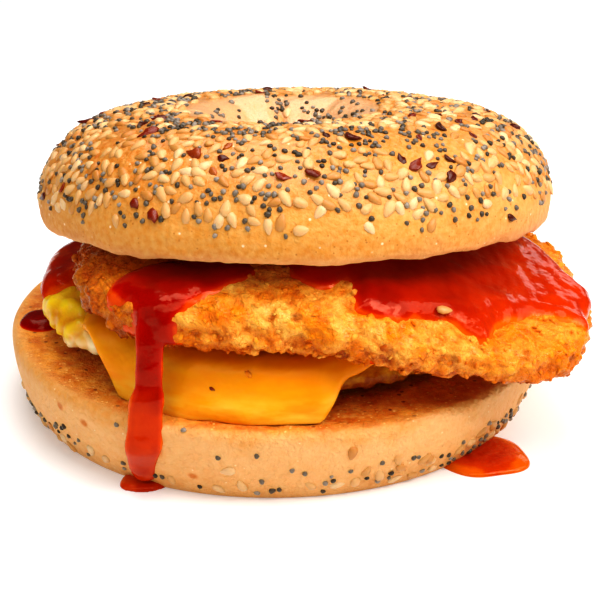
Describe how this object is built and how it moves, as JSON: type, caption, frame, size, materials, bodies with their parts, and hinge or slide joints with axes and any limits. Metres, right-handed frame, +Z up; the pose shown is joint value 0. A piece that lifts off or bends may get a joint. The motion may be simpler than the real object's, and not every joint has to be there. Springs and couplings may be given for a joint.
{
  "type": "breakfast sandwich",
  "caption": "Split seeded bagel stacked with a browned patty, folded egg, melted cheese, a breaded chicken cutlet and running hot sauce; rests flat on its heel.",
  "frame": {"origin": "on the surface the sandwich stands on, below the middle of its box", "axes": "+Z up; the side with the drip of sauce faces -Y; +X is to the right seen from that side, where the cutlet hangs out"},
  "size_m": [0.1151, 0.1066, 0.0641],
  "materials": {
    "heel_crust": "dull pale tan bagel crust with a fine fuzzy skin, toasted brown cut face",
    "patty": "dark browned craggy meat with an oily sheen",
    "egg": "moist soft egg, yellow with creamy white folds",
    "cheese": "smooth glossy melted orange-yellow cheese",
    "breading": "golden fried breading with rough crags, browned tips and a light oily glisten",
    "hot_sauce": "thick glossy red sauce, orange where it runs thin",
    "crown_crust": "golden baked crust with a satin top, covered in sesame, poppy seeds and chilli flakes"
  },
  "bodies": {
    "root": {"bagel_heel": "heel_crust", "browned_patty": "patty", "folded_egg": "egg", "cheese_slice": "cheese", "chicken_cutlet": "breading", "sauce_left": "hot_sauce", "sauce_drip": "hot_sauce", "sauce_right": "hot_sauce", "sauce_on_egg": "hot_sauce", "sauce_on_heel": "hot_sauce", "sauce_pool": "hot_sauce", "bagel_crown": "crown_crust"}
  },
  "joints": []
}
